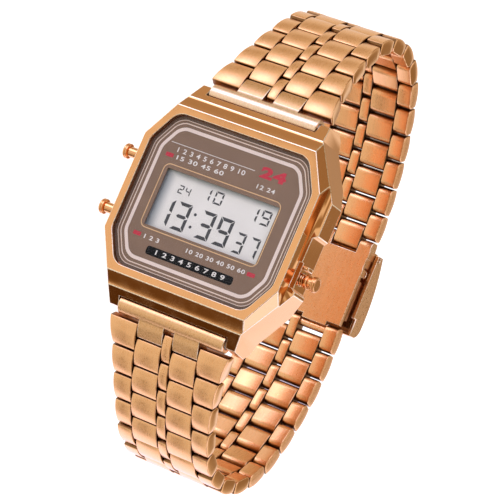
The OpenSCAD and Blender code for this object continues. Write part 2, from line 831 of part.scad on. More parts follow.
// Turned on its side, with the origin on the case back
module placed() {
    translate([0, -case_t, 0]) rotate([90, -90, 0]) children();
}

placed() case_body();  // case
placed() crystal();
placed() dial_plate();
placed() lcd_panel();
placed() light_guide();
placed() zebra_strips();
placed() module_frame();
placed() circuit_board();
placed() battery();
placed() battery_clip();
placed() contact_tabs();
placed() buzzer_spring();
placed() buzzer_disc();
placed() back_gasket();
placed() case_back();
placed() back_screws();
placed() button(LIGHT);  // button_light
placed() button(MODE);  // button_mode
placed() button(START);  // button_start
placed() button_spring(LIGHT);  // light_spring
placed() button_spring(MODE);  // mode_spring
placed() button_spring(START);  // start_spring
placed() button_seals();
placed() spring_bars();
placed() end_link(12);  // end_link_12
placed() end_link(6);  // end_link_6
for (k = [1:ROWS_12]) placed() link_row(12, k);
for (k = [1:ROWS_6]) placed() link_row(6, k);
placed() clasp_plate();
placed() clasp_pins();
placed() clasp_blade();
placed() clasp_cover();
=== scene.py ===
import math

import bmesh
import bpy
from mathutils import Matrix, Vector


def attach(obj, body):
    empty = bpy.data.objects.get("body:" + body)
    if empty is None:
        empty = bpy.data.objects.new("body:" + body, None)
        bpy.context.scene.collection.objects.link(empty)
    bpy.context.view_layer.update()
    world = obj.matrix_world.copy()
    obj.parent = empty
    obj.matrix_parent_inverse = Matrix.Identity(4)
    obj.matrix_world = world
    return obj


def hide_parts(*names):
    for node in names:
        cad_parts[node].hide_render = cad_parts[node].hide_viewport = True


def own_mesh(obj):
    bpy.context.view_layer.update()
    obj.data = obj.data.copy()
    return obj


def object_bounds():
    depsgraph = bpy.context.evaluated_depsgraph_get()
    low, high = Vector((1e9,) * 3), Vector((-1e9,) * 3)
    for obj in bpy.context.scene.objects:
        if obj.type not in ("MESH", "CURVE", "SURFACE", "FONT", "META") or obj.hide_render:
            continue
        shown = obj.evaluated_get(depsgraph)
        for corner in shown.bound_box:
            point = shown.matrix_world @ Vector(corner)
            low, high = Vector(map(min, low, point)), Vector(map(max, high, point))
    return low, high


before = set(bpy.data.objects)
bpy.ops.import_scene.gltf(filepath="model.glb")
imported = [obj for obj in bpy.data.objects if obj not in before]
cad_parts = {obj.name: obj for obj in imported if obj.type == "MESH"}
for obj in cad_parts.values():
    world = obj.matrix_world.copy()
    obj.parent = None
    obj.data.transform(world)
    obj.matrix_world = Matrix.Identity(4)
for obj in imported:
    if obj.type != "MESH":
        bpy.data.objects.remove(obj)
cad_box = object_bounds()

# Watch frame, in which the pieces are drawn in millimetres: X towards 3 o'clock, Y towards
# 12 o'clock, Z out of the dial, 0 at the bezel's top. The shared frame is in metres, with the
# origin on the case back.
CASE_T = 8.2
MM = 0.001
WATCH = Matrix(((0, -MM, 0, 0), (0, 0, -MM, -CASE_T * MM), (MM, 0, 0, 0), (0, 0, 0, 1)))

# Points nearer than this, in mm, are one: in what is drawn here, and in what the CAD gives. Points
# this near to a plane lie on it
SAME_POINT, SAME_CAD_POINT = 0.001, 0.002
NEAR = 0.01
# Faces that turn less than the first are one flat face. Edges that turn more than the second are
# rounded, and in pieces without rounding those that turn more than the third are sharp
FLAT_ANGLE, ROUND_ANGLE, SHARP_ANGLE = math.radians(0.5), math.radians(20), math.radians(30)
# The share of a narrow face that the rounding of one of its edges may take
NARROW_SHARE = 0.45
# How fast the rubbed look, which is wear and a painted highlight, grows with the turn of the
# surface
RUB_AND_HIGHLIGHT_GAIN = 6

# Case, crystal, dial and display, in mm. The bezel is an octagon: its size, and its straight edges
BEZEL_W, BEZEL_H, BEZEL_EDGE_X, BEZEL_EDGE_Y = 31.2, 27.2, 24.6, 15.5
# The crystal: its corners' radius, how far it is inside the bezel's outline, and its heights
CRYSTAL_R = 2.4
CORNER_SEGMENTS = 8
CRYSTAL_IN, CRYSTAL_TOP, CRYSTAL_LOW = 1.25, -0.1, -0.78
DIAL_TOP, DIAL_LOW = -0.9, -1.2
# The window in the dial, the display behind it, and how far that reaches past the window
WINDOW_W, WINDOW_H, WINDOW_Y = 20, 9.2, -0.6
LCD_TOP, LCD_LOW = -1.5, -2.6
LCD_MARGIN = 1
# The shade on the display: how far it reaches in from 9 and from 12 o'clock, what share of the
# first the second is, and how dark it gets
SHADE_SIDE, SHADE_OVER = 2.2, 1.1
SHADE_OVER_SHARE, SHADE_MOST = 0.75, 0.85
# How thick prints are, and how far apart their characters stand
PRINT_T = 0.02
LETTER_SPACE = 1.15
# The colon's dots on the display: their place and radius
COLON_X, COLON_R = -2.8, 0.24
COLON_SIDES = 20

# Bracelet, in mm: its rows' pitch, a link's thickness and dome, the gap between links, and how far
# a link reaches inwards and outwards from its pins' axes
PITCH = 4.6
LINK_T = 2.5
LINK_DOME = 0.4
LINK_GAP = 0.2
END_R = PITCH / 4 + 0.05
CROWN = LINK_T - END_R
# Half a link's length, and how far its middle is from its row's first pin
HALF_LINK, LINK_MIDDLE = (PITCH - LINK_GAP) / 2, PITCH / 4
# How far a link's inner corners stop short of a full round, how soft its edges are and over which
# turn, and the cuts on each side of its middle that let its outer face be a dome
INNER_FLAT = 0.15
LINK_SOFT, SOFT_ANGLE = 0.17, math.radians(35)
DOME_CUTS = 3
CUT_DIST = 0.0001
# Across the band: the bead's half width, where the inner link starts and ends, and where the outer
# link starts. It ends at the band's edge, which narrows from the lugs over a few rows
BEAD_X = 0.8
INNER_X, INNER_END_X = 0.92, 5.48
OUTER_X = 5.6
BAND_W, BAND_LUG_W, TAPER_ROWS = 16, 21.5, 2
# A pin: its radius, the last bar's radius, how far its ends are from the band's edge, their
# chamfer and its sides
PIN_R, END_BAR_R = 0.5, 0.7
PIN_EDGE = 0.7
PIN_CHAMFER = 0.08
PIN_SIDES = 20
# From a spring bar to the first row's pin, and where the spring bars are
END_LINK_L = 2.75
BAR_Y, BAR_DEPTH = 17.5, 3.9
# Faces of an end link further than this from its bar's axis are its tongues'
TUBE_R = 1.75
# The rows that bend as the lugs hold them, and the rows with polished sides
LUG_ROWS = 4
POLISHED_ROWS = 8
# How squarely a face has to look across the band to be a polished side, how squarely along or
# across it to lie in a gap between links and be darkened as painted shade, and the strip at the
# band's edge that has no gaps
SIDE_FACING, GAP_FACING = 0.9, 0.8
EDGE_STRIP = 1
# What the grain is moved by, so that no two rows, sides or strips of links look the same
GRAIN_X, GRAIN_Y, GRAIN_SIDE, GRAIN_STRIP = 7.3, 3.1, 40, 5
STRIP_W = 4
# For each side: its sign, its rows, its direction at the spring bar in degrees, what a row bends
# further near the lugs, round the wrist and towards the clasp, and where the middle stretch ends
SIDES = {"12": (1, 14, -22.2, 5.8, 19.5, 6.4, 9), "6": (-1, 15, -26.3, 5.4, 16.9, 7.8, 10)}


# Shader nodes

def feed(tree, node, inputs):
    """Links a node's inputs where a socket is given, and sets them otherwise."""
    for key, value in inputs.items():
        if isinstance(value, bpy.types.NodeSocket):
            tree.links.new(value, node.inputs[key])
        else:
            node.inputs[key].default_value = value
    return node


def add(tree, kind, inputs=None, **settings):
    """A shader node of that kind."""
    made = tree.nodes.new("ShaderNode" + kind)
    for key, value in settings.items():
        setattr(made, key, value)
    return feed(tree, made, inputs or {})


def use(tree, effect, **inputs):
    """The outputs of a node group."""
    made = tree.nodes.new("ShaderNodeGroup")
    made.node_tree = effect
    return feed(tree, made, inputs).outputs


def maths(tree, operation, *values):
    return add(tree, "Math", dict(enumerate(values)), operation=operation).outputs[0]


def remap(tree, value, low, high, to_low=0.0, to_high=1.0):
    """The value moved smoothly from one range to another."""
    inputs = {"Value": value, "From Min": low, "From Max": high,
              "To Min": to_low, "To Max": to_high}
    return add(tree, "MapRange", inputs, interpolation_type="SMOOTHSTEP").outputs["Result"]


def spread(tree, value, to_low=0.0, to_high=1.0):
    """Noise, which mostly lies between 0.3 and 0.7, spread over another range."""
    return remap(tree, value, 0.3, 0.7, to_low, to_high)


def mixed(tree, factor, a, b):
    """Colour a where the factor is 0, and b where it is 1."""
    a, b = (c if isinstance(c, bpy.types.NodeSocket) else (*c, 1) for c in (a, b))
    return add(tree, "Mix", {0: factor, 6: a, 7: b}, data_type="RGBA").outputs[2]


def dimmed(tone, share):
    return [channel * share for channel in tone]


def noise(tree, place, scale, detail):
    return add(tree, "TexNoise", {"Vector": place, "Scale": scale, "Detail": detail}).outputs["Fac"]


def stretched(tree, place, scale, turn=(0, 0, 0)):
    inputs = {"Vector": place, "Scale": scale, "Rotation": turn}
    return add(tree, "Mapping", inputs).outputs["Vector"]


def group(name, inputs, outputs, build):
    """A node group whose outputs are what build gives for its input sockets."""
    tree = bpy.data.node_groups.new(name, "ShaderNodeTree")
    for label, kind, default in inputs:
        socket = tree.interface.new_socket(label, in_out="INPUT", socket_type="NodeSocket" + kind)
        if default is not None:
            socket.default_value = default
    for label, kind in outputs:
        tree.interface.new_socket(label, in_out="OUTPUT", socket_type="NodeSocket" + kind)
    given = tree.nodes.new("NodeGroupInput")
    end = tree.nodes.new("NodeGroupOutput")
    for (label, _), value in zip(outputs, build(tree, given.outputs)):
        tree.links.new(value, end.inputs[label])
    return tree


def grain_streaks(tree, given):
    """Fine lines along X, as a brush leaves them, with a broken, uneven depth."""
    fine = noise(tree, stretched(tree, given["Place"], (0.9, 14, 14)), 1, 3)
    broad = noise(tree, stretched(tree, given["Place"], (0.25, 3.5, 3.5)), 1, 2)
    speck = noise(tree, given["Place"], 5, 2)
    lines = maths(tree, "MULTIPLY", fine, 0.6)
    height = maths(tree, "ADD", lines, maths(tree, "MULTIPLY", speck, 0.4))
    return height, remap(tree, broad, 0.32, 0.68), spread(tree, speck)


def fine_scratches(tree, given):
    """Sparse hairlines in three directions."""
    lines = None
    for turn in (0.4, 1.5, 2.6):
        along = stretched(tree, given["Place"], (0.35, 22, 22), (turn, 0.7 * turn, turn))
        mask = remap(tree, noise(tree, along, 1, 1), 0.66, 0.72)
        lines = mask if lines is None else maths(tree, "MAXIMUM", lines, mask)
    patches = remap(tree, noise(tree, given["Place"], 0.35, 3), 0.35, 0.65)
    return maths(tree, "MULTIPLY", lines, patches), patches


def worn_and_highlit_edges(tree, given):
    """Where the rounded edges are paler, as wear and a painted highlight, broken up by noise."""
    patches = remap(tree, noise(tree, given["Place"], 1.6, 3), 0.25, 0.6)
    return (maths(tree, "MULTIPLY", given["Edge"], patches),)


def speckle(tree, given):
    """Small even grains, such as those in paint, plastic or rubber."""
    grains = noise(tree, given["Place"], given["Size"], 2)
    return grains, remap(tree, grains, 0.35, 0.65)


GRAIN = group("brushed grain", [("Place", "Vector", None)],
              [("Height", "Float"), ("Streaks", "Float"), ("Specks", "Float")], grain_streaks)
SCRATCHES = group("fine scratches", [("Place", "Vector", None)],
                  [("Lines", "Float"), ("Patches", "Float")], fine_scratches)
WEAR_AND_HIGHLIGHT = group("worn and highlit edges", [("Place", "Vector", None), ("Edge", "Float", 0.0)],
             [("Wear and highlight", "Float")], worn_and_highlit_edges)
SPECKLE = group("speckle", [("Place", "Vector", None), ("Size", "Float", 8.0)],
                [("Height", "Float"), ("Grains", "Float")], speckle)


def material(name, **constants):
    """A material with a Principled shader, its tree, and the place on the piece in millimetres."""
    made = bpy.data.materials.new(name)
    made.use_nodes = True
    tree = made.node_tree
    shader = tree.nodes["Principled BSDF"]
    for key, value in constants.items():
        shader.inputs[key.replace("_", " ")].default_value = value
    coordinates = add(tree, "TexCoord").outputs["Object"]
    place = stretched(tree, coordinates, (1000, 1000, 1000))
    return made, tree, shader, place


def bumped(tree, shader, height, strength, distance):
    """Gives the surface its relief. The distance is in mm."""
    bump = add(tree, "Bump", {"Height": height, "Strength": strength, "Distance": distance * MM})
    tree.links.new(bump.outputs["Normal"], shader.inputs["Normal"])


def connect(tree, shader, colour, roughness):
    tree.links.new(colour, shader.inputs["Base Color"])
    tree.links.new(roughness, shader.inputs["Roughness"])


def marked(tree, name):
    """What the mesh keeps under that name for each vertex, from 0 to 1."""
    return add(tree, "Attribute", attribute_name=name).outputs["Fac"]


# Plating: how far grains, rubbed edges (wear and a painted highlight) and hairlines go towards the
# pale tone, what share of the tone is left in streaks, cloudy patches, on polished sides and in the
# gaps between links (a painted shade), and what share of the roughness is left on rubbed edges and
# on polished sides. Clouds multiply the roughness of polished plating, and hairlines add to it
SPECKS_PALE, WEAR_AND_HIGHLIGHT_PALE, LINES_PALE = 0.2, 0.7, 0.3
STREAK_TONE, PATCH_TONE, POLISH_TONE, GAP_SHADE_TONE = 0.93, 0.97, 0.85, 0.3
WEAR_ROUGH, POLISH_ROUGH = 0.65, 0.35
CLOUD_ROUGH, LINES_ROUGH = 1.5, 0.12


def brushed_metal(name, tone, pale, turn=(0, 0, 0), rough=(0.24, 0.4), along_row=False):
    """Brushed plating: lines, streaks of tone, pale edges of wear and painted highlight, polished
    sides, and painted shade in the gaps between links.
    """
    made, tree, shader, place = material(name, Metallic=1.0)
    if along_row:
        place = add(tree, "Attribute", attribute_name="row_place").outputs["Vector"]
    else:
        place = stretched(tree, place, (1, 1, 1), turn)
    grain = use(tree, GRAIN, Place=place)
    wear_and_highlight = use(tree, WEAR_AND_HIGHLIGHT, Place=place, Edge=marked(tree, "edge"))["Wear and highlight"]
    polish = marked(tree, "polish")
    colour = mixed(tree, grain["Streaks"], dimmed(tone, STREAK_TONE), tone)
    colour = mixed(tree, maths(tree, "MULTIPLY", grain["Specks"], SPECKS_PALE), colour, pale)
    # Rubbed edges go pale: wear and a painted highlight
    colour = mixed(tree, maths(tree, "MULTIPLY", wear_and_highlight, WEAR_AND_HIGHLIGHT_PALE), colour, pale)
    colour = mixed(tree, polish, colour, dimmed(tone, POLISH_TONE))
    # Painted shade: the faces in the gaps between links are darkened
    colour = mixed(tree, marked(tree, "gap"), colour, dimmed(tone, GAP_SHADE_TONE))
    roughness = spread(tree, grain["Height"], *rough)
    for mask, left in ((wear_and_highlight, WEAR_ROUGH), (polish, POLISH_ROUGH)):
        roughness = maths(tree, "MULTIPLY", roughness, remap(tree, mask, 0, 1, 1, left))
    connect(tree, shader, colour, roughness)
    bumped(tree, shader, grain["Height"], 0.3, 0.012)
    return made


def polished_metal(name, tone, pale, rough=0.07):
    """Polished plating with hairline scratches, faint cloudy patches, and pale edges of wear and
    painted highlight.
    """
    made, tree, shader, place = material(name, Metallic=1.0)
    marks = use(tree, SCRATCHES, Place=place)
    wear_and_highlight = use(tree, WEAR_AND_HIGHLIGHT, Place=place, Edge=marked(tree, "edge"))["Wear and highlight"]
    body = mixed(tree, marks["Patches"], tone, dimmed(tone, PATCH_TONE))
    lines = maths(tree, "MULTIPLY", marks["Lines"], LINES_PALE)
    clouds = remap(tree, marks["Patches"], 0, 1, rough, rough * CLOUD_ROUGH)
    connect(tree, shader, mixed(tree, maths(tree, "MAXIMUM", wear_and_highlight, lines), body, pale),
            maths(tree, "ADD", clouds, maths(tree, "MULTIPLY", marks["Lines"], LINES_ROUGH)))
    bumped(tree, shader, marks["Lines"], 0.1, 0.004)
    return made


def edge_highlight_line(name, tone, pale):
    """The line along a rounded edge, paler than the face as a painted highlight, with specks of the
    darker plating.
    """
    made, tree, shader, place = material(name, Metallic=1.0)
    grains = use(tree, SPECKLE, Place=place, Size=3.0)
    connect(tree, shader, mixed(tree, grains["Grains"], tone, pale),
            spread(tree, grains["Height"], 0.24, 0.36))
    bumped(tree, shader, grains["Height"], 0.1, 0.004)
    return made


def grained(name, tone, other, size, rough, strength=0.2, **constants):
    """Paint, plastic or rubber with a fine even grain and a slight change of tone."""
    made, tree, shader, place = material(name, **constants)
    grains = use(tree, SPECKLE, Place=place, Size=size)
    both = maths(tree, "ADD", grains["Grains"], spread(tree, noise(tree, place, 0.4, 2)))
    connect(tree, shader, mixed(tree, maths(tree, "MULTIPLY", both, 0.5), tone, other),
            spread(tree, grains["Height"], *rough))
    bumped(tree, shader, grains["Height"], strength, 0.01)
    return made


def display_glass():
    """Reflective display: pale grey, with the blue-grey shade along its 9 and 12 o'clock edges."""
    made, tree, shader, place = material("display grey", Metallic=0.0, Specular_IOR_Level=0.3)
    split = add(tree, "SeparateXYZ", {"Vector": place}).outputs
    left, top = -WINDOW_W / 2, -(WINDOW_Y + WINDOW_H / 2)
    side = remap(tree, split["Z"], left, left + SHADE_SIDE, 1, 0)
    over = remap(tree, split["X"], top, top + SHADE_OVER, 1, 0)
    shade = maths(tree, "MAXIMUM", side, maths(tree, "MULTIPLY", over, SHADE_OVER_SHARE))
    grains = use(tree, SPECKLE, Place=place, Size=14)
    plain = mixed(tree, grains["Grains"], (0.93, 0.92, 0.89), (0.96, 0.95, 0.92))
    colour = mixed(tree, maths(tree, "MULTIPLY", shade, SHADE_MOST), plain, (0.25, 0.31, 0.35))
    connect(tree, shader, colour, spread(tree, grains["Height"], 0.3, 0.42))
    bumped(tree, shader, grains["Height"], 0.05, 0.004)
    return made


def clear_crystal():
    """Nearly clear glass with the faintest clouds."""
    made, tree, shader, place = material("clear crystal", Metallic=0.0, IOR=1.5,
                                         Base_Color=(0.05, 0.055, 0.06, 1))
    clouds = noise(tree, place, 0.3, 3)
    tree.links.new(remap(tree, clouds, 0.45, 0.75, 0.02, 0.05), shader.inputs["Roughness"])
    tree.links.new(spread(tree, clouds, 0.05, 0.07), shader.inputs["Alpha"])
    return made


def circuit_green():
    """Solder mask over copper tracks."""
    made, tree, shader, place = material("circuit green", Metallic=0.0)
    bricks = {"Vector": place, "Scale": 0.6, "Mortar Size": 0.06}
    tracks = add(tree, "TexBrick", bricks).outputs["Fac"]
    grains = use(tree, SPECKLE, Place=place, Size=10)
    mask = mixed(tree, grains["Grains"], (0.01, 0.12, 0.045), (0.015, 0.16, 0.06))
    connect(tree, shader, mixed(tree, tracks, mask, (0.12, 0.33, 0.08)),
            spread(tree, grains["Height"], 0.25, 0.4))
    bumped(tree, shader, tracks, 0.3, 0.03)
    return made


def zebra_stripes():
    """Silicone strip with its thin carbon layers."""
    made, tree, shader, place = material("striped silicone", Metallic=0.0)
    wave = {"Vector": place, "Scale": 3.0, "Distortion": 0.0}
    bands = add(tree, "TexWave", wave, bands_direction="Z").outputs["Fac"]
    grains = use(tree, SPECKLE, Place=place, Size=10)
    plain = mixed(tree, grains["Grains"], (0.72, 0.3, 0.36), (0.78, 0.36, 0.42))
    connect(tree, shader, mixed(tree, remap(tree, bands, 0.6, 0.8), plain, (0.05, 0.04, 0.04)),
            spread(tree, grains["Height"], 0.5, 0.65))
    return made


GOLD = (0.82, 0.405, 0.165)
GOLD_SATIN = (0.92, 0.465, 0.183)
GOLD_PALE = (0.98, 0.72, 0.47)
GOLD_DARK = (0.50, 0.235, 0.10)
GOLD_CLASP = (0.79, 0.43, 0.18)
STEEL, STEEL_PALE = (0.52, 0.53, 0.55), (0.78, 0.79, 0.8)

satin_gold = brushed_metal("satin gold links", GOLD_SATIN, GOLD_PALE, along_row=True)
back_gold = brushed_metal("brushed gold back", GOLD, GOLD_PALE, turn=(0, math.pi / 2, 0))
clasp_gold = brushed_metal("brushed gold clasp", GOLD_CLASP, GOLD_PALE)
# The 12 o'clock tube is paler than the 6 o'clock one, which has the clasp's finish: a painted
# highlight
tube_gold = {
    "12": brushed_metal("brushed tube with painted highlight", (0.96, 0.66, 0.42), (1.0, 0.86, 0.7)),
    "6": clasp_gold}
blade_gold = brushed_metal("dark satin blade", GOLD_DARK, GOLD)
case_gold = polished_metal("polished gold case", GOLD, GOLD_PALE)
# The rounded edges' own faces: pale, a painted highlight
edge_highlight_gold = edge_highlight_line("gold edges with painted highlight", (0.97, 0.72, 0.48), (1.0, 0.84, 0.64))
button_gold = polished_metal("polished gold buttons", GOLD, GOLD_PALE, 0.1)
screw_gold = polished_metal("polished gold screws", GOLD_DARK, GOLD_PALE, 0.16)
spring_steel = brushed_metal("drawn spring steel", STEEL, STEEL_PALE, rough=(0.2, 0.34))
cell_steel = brushed_metal("brushed cell steel", STEEL, STEEL_PALE, rough=(0.25, 0.4))
contact_gold = brushed_metal("plated contacts", (0.75, 0.55, 0.24), (0.9, 0.74, 0.45))
buzzer_brass = brushed_metal("buzzer brass", (0.62, 0.42, 0.16), (0.8, 0.62, 0.34))
# Two tones, the grains' scale, and the range of the roughness
dial_taupe = grained("dial taupe paint", (0.24, 0.146, 0.092), (0.27, 0.164, 0.104), 16,
                     (0.42, 0.52), 0.08)
dial_brown = grained("dial border brown", (0.13, 0.08, 0.052), (0.155, 0.096, 0.062), 16,
                     (0.42, 0.52), 0.08)
print_pink = grained("printed pink", (0.95, 0.80, 0.73), (0.98, 0.84, 0.77), 12, (0.4, 0.5))
print_cream = grained("printed cream", (0.92, 0.76, 0.64), (0.96, 0.81, 0.7), 12, (0.4, 0.5))
print_amber = grained("printed amber", (0.82, 0.52, 0.25), (0.9, 0.6, 0.32), 12, (0.35, 0.45))
print_red = grained("printed red", (0.58, 0.018, 0.045), (0.66, 0.028, 0.06), 12, (0.35, 0.45))
print_black = grained("printed black", (0.003, 0.003, 0.003), (0.006, 0.006, 0.006), 12, (0.3, 0.4),
                      Specular_IOR_Level=0.1)
print_white = grained("printed white", (0.86, 0.83, 0.8), (0.93, 0.91, 0.88), 12, (0.35, 0.45))
segment_ink = grained("display segments", (0.045, 0.047, 0.05), (0.065, 0.067, 0.07), 9,
                      (0.4, 0.55))
frame_plastic = grained("moulded frame plastic", (0.72, 0.69, 0.62), (0.78, 0.75, 0.68), 5,
                        (0.4, 0.55))
guide_plastic = grained("milky light guide", (0.82, 0.83, 0.8), (0.88, 0.88, 0.85), 4, (0.2, 0.3))
rubber = grained("seal rubber", (0.012, 0.012, 0.012), (0.022, 0.022, 0.022), 9, (0.6, 0.75), 0.4)
display_grey = display_glass()
crystal_clear = clear_crystal()
board_green = circuit_green()
zebra_pink = zebra_stripes()


# Shapes

def mark_edges(bm):
    """Keeps on each vertex how sharply the surface turns there, for the rubbed edges, which are
    painted paler as wear and a highlight.
    """
    bm.normal_update()
    layer = bm.verts.layers.float.new("edge")
    for vert in bm.verts:
        if vert.link_faces:
            level = min(face.normal.dot(vert.normal) for face in vert.link_faces)
            vert[layer] = min(1, max(0, (1 - level) * RUB_AND_HIGHLIGHT_GAIN))


def reach(loop):
    """How far the face goes inward from a loop's edge before it meets another of its edges."""
    start = loop.vert.co
    along = loop.link_loop_next.vert.co - start
    length = along.length
    along = along / length
    inward = loop.face.normal.cross(along)
    near = math.inf
    for other in loop.face.loops:
        if other in (loop, loop.link_loop_next, loop.link_loop_prev):
            continue
        ends = [other.vert.co - start, other.link_loop_next.vert.co - start]
        (t0, s0), (t1, s1) = sorted((end.dot(along), end.dot(inward)) for end in ends)
        if t1 <= 0 or t0 >= length:
            continue
        slope = (s1 - s0) / (t1 - t0) if t1 > t0 else 0
        inside = [s0 + slope * (min(max(t, 0), length) - t0) for t in (t0, t1)]
        near = min([near] + [s for s in inside if s > 0])
    return near


def weigh_edges(bm, width):
    """Marks the outer edges to be rounded, less where a face is too narrow for the width.

    Inner edges stay sharp, and the faces are smooth.
    """
    bm.normal_update()
    layer = bm.edges.layers.float.new("bevel_weight_edge")
    for face in bm.faces:
        face.smooth = True
    for edge in bm.edges:
        if edge.calc_face_angle(0) > ROUND_ANGLE:
            if edge.is_convex:
                narrowest = min(reach(loop) for loop in edge.link_loops)
                edge[layer] = min(1, NARROW_SHARE * narrowest / width)
            else:
                edge.smooth = False


def finished(name, bm, place, finish, body, nodes=(), edge=0, segments=2, edge_highlight_finish=None):
    """A piece of the bmesh's shape, put in its place, that rides on a body.

    It stands for the CAD nodes given, and edge is how wide its rounded edges are, in mm.
    """
    bmesh.ops.transform(bm, matrix=place, verts=bm.verts)
    bmesh.ops.recalc_face_normals(bm, faces=bm.faces)
    if edge:
        weigh_edges(bm, edge * MM)
    else:
        mark_edges(bm)
    mesh = bpy.data.meshes.new(name)
    bm.to_mesh(mesh)
    bm.free()
    if not edge:
        mesh.shade_smooth()
    mesh.materials.append(finish)
    piece = bpy.data.objects.new(name, mesh)
    bpy.context.collection.objects.link(piece)
    if edge:
        soft = piece.modifiers.new("soft edges", "BEVEL")
        soft.limit_method = "WEIGHT"
        soft.width = edge * MM
        soft.segments = segments
        soft.use_clamp_overlap = False
        # The rounded edges take the paler finish: a painted highlight
        if edge_highlight_finish:
            mesh.materials.append(edge_highlight_finish)
            soft.material = 1
        # The large faces keep their own normals, so that they reflect as flat ones do
        flat = piece.modifiers.new("flat faces", "WEIGHTED_NORMAL")
        flat.keep_sharp = True
        flat.weight = 100
    else:
        mesh.set_sharp_from_angle(angle=SHARP_ANGLE)
    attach(piece, body)
    if nodes:
        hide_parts(*nodes)
    return piece


def merged_copy(node):
    """The CAD node's solid as flat faces, in the shared frame."""
    bm = bmesh.new()
    bm.from_mesh(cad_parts[node].data)
    bmesh.ops.remove_doubles(bm, verts=bm.verts, dist=SAME_CAD_POINT * MM)
    bmesh.ops.dissolve_degenerate(bm, edges=bm.edges, dist=SAME_CAD_POINT * MM)
    bmesh.ops.dissolve_limit(bm, angle_limit=FLAT_ANGLE, verts=bm.verts, edges=bm.edges)
    return bm


def softened(node, finish, body, edge, segments=2, edge_highlight_finish=None):
    """The CAD node with its edges rounded, and painted pale as a highlight where a finish for that
    is given.
    """
    return finished(node + "_finished", merged_copy(node), Matrix(), finish, body, [node],
                    edge, segments, edge_highlight_finish)


def face_of(points):
    """A flat face through a few points."""
    bm = bmesh.new()
    bm.faces.new([bm.verts.new((x, y, 0)) for x, y in points])
    return bm


def round_corners(bm, radius):
    """Rounds the corners of a flat face."""
    for vert in list(bm.verts):
        a, b = (edge.other_vert(vert).co - vert.co for edge in vert.link_edges)
        offset = radius / math.tan(a.angle(b) / 2)
        bmesh.ops.bevel(bm, geom=[vert], offset=offset, offset_type="OFFSET",
                        segments=CORNER_SEGMENTS, profile=0.5, affect="VERTICES", material=-1)


def raised(bm, low, high):
    """Gives a flat shape its thickness, from low to high."""
    bmesh.ops.translate(bm, vec=(0, 0, low), verts=bm.verts)
    made = bmesh.ops.extrude_face_region(bm, geom=bm.faces[:])
    up = [item for item in made["geom"] if isinstance(item, bmesh.types.BMVert)]
    bmesh.ops.translate(bm, vec=(0, 0, high - low), verts=up)
    return bm


def octagon(inset):
    """The bezel's outline, inset, with round corners."""
    lean = math.atan2(BEZEL_H - BEZEL_EDGE_Y, BEZEL_W - BEZEL_EDGE_X)
    w, h = BEZEL_W / 2 - inset, BEZEL_H / 2 - inset
    x = BEZEL_EDGE_X / 2 - inset * math.tan(lean / 2)
    y = BEZEL_EDGE_Y / 2 - inset * math.tan(math.pi / 4 - lean / 2)
    bm = face_of([(x, -h), (w, -y), (w, y), (x, h), (-x, h), (-w, y), (-w, -y), (-x, -h)])
    round_corners(bm, CRYSTAL_R)
    return bm


def oblong(w, h, radius):
    """A flat oblong with round corners."""
    bm = face_of([(-w / 2, -h / 2), (w / 2, -h / 2), (w / 2, h / 2), (-w / 2, h / 2)])
    round_corners(bm, radius)
    return bm


def ring(bm, width):
    """Keeps a band of that width along the outline of a flat shape."""
    inner = bmesh.ops.inset_region(bm, faces=bm.faces[:], thickness=width, use_boundary=True,
                                   use_even_offset=True)
    band = set(inner["faces"])
    bmesh.ops.delete(bm, geom=[face for face in bm.faces if face not in band], context="FACES")
    return bm


def on_dial(x, y):
    """To the shared frame from a place on the dial."""
    return WATCH @ Matrix.Translation((x, y, 0))


def printed(name, bm, finish, x=0, y=0, layer=1):
    """A print on the dial. Layer 2 lies on layer 1."""
    low = DIAL_TOP + PRINT_T * (layer - 1)
    finished(name, raised(bm, low, low + PRINT_T), on_dial(x, y), finish, "case")


def numerals(name, text, size, x, y, finish, bold, stretch, layer=1):
    """Plain numbers printed on the dial, centred on x, y, and stretched sideways."""
    curve = bpy.data.curves.new(name, "FONT")
    curve.body = text
    curve.size = size
    curve.offset = bold
    curve.align_x = "CENTER"
    curve.align_y = "CENTER"
    curve.fill_mode = "FRONT"
    curve.space_character = LETTER_SPACE
    writing = bpy.data.objects.new(name, curve)
    bpy.context.collection.objects.link(writing)
    mesh = bpy.data.meshes.new_from_object(writing)
    bpy.data.objects.remove(writing)
    bm = bmesh.new()
    bm.from_mesh(mesh)
    bpy.data.meshes.remove(mesh)
    bmesh.ops.scale(bm, vec=(stretch, 1, 1), verts=bm.verts)
    bmesh.ops.remove_doubles(bm, verts=bm.verts, dist=SAME_POINT)
    printed(name, bm, finish, x, y, layer)


# Case and back

softened("case", case_gold, "case", 0.1, 3, edge_highlight_gold)
softened("case_back", back_gold, "case", 0.06)
softened("back_screws", screw_gold, "case", 0.04)

# Buttons, in mm: their height in the watch frame, their sides and places, and how long the neck
# between stem and head is at 3 and at 9 o'clock
BUTTON_Z = -4.6
BUTTONS = {"button_light": (-1, 4.8), "button_mode": (-1, -4.5), "button_start": (1, -4.5)}
NECK_3, NECK_9 = 0.6, 1.7
LATHE_STEPS = 48
BUTTON_EDGE = 0.03
# Half sections, as distances along the axis and from it: the stem, and the head from its neck on
STEM_SECTION = [(12.78, 0), (12.78, 0.5), (12.88, 0.6), (16.95, 0.6), (16.97, 1.02), (17.03, 1.1),
                (17.44, 1.1), (17.5, 1.04), (17.5, 0.85)]
HEAD_SECTION = [(0, 0.85), (0.02, 1.06), (0.1, 1.2), (0.3, 1.2), (0.34, 1.14), (0.38, 1.14),
                (0.42, 1.2), (0.62, 1.2), (0.76, 1.12), (0.8, 0.98), (0.8, 0.9), (0.77, 0.86),
                (0.77, 0)]
